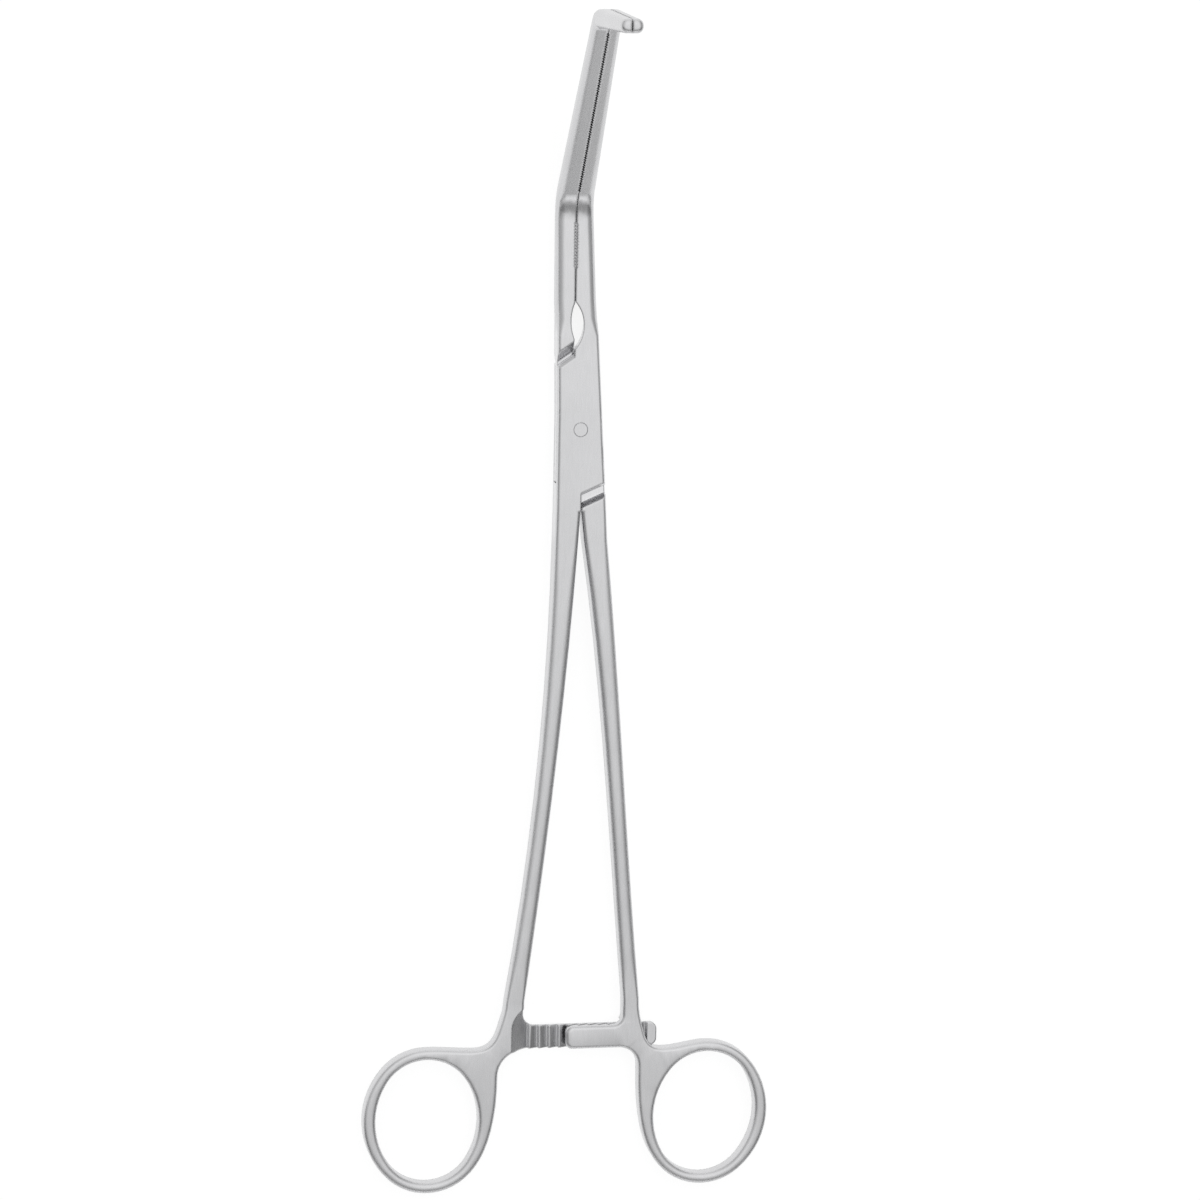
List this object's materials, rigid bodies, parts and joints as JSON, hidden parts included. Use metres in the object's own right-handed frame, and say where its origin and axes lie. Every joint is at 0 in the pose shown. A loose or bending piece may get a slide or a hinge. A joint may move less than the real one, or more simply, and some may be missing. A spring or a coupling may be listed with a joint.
{
  "type": "tangential occlusion clamp",
  "caption": "Vascular clamp with finger rings, a ratchet, a box lock and slim jaws bent twice into a hook that closes off the side of a vessel.",
  "frame": {"origin": "where the joint pin's axis meets the flat back of the box lock", "axes": "+Y runs along the clamp from the rings towards the tips, +Z out of the front face and the way the tips point, +X towards the ring of the male half"},
  "size_m": [0.0918, 0.2642, 0.0631],
  "materials": {
    "satin_steel": "satin",
    "ground_steel": "ground flush with the box and satin"
  },
  "bodies": {
    "box": {"box_half": "satin_steel", "joint_pin": "ground_steel"},
    "male": {"male_half": "satin_steel"}
  },
  "joints": [
    {"name": "box_lock", "type": "hinge", "parent": "box", "child": "male", "pos_m": [0, 0, 0.0029], "axis": [0, 0, 1], "range_deg": [0, 40]}
  ]
}
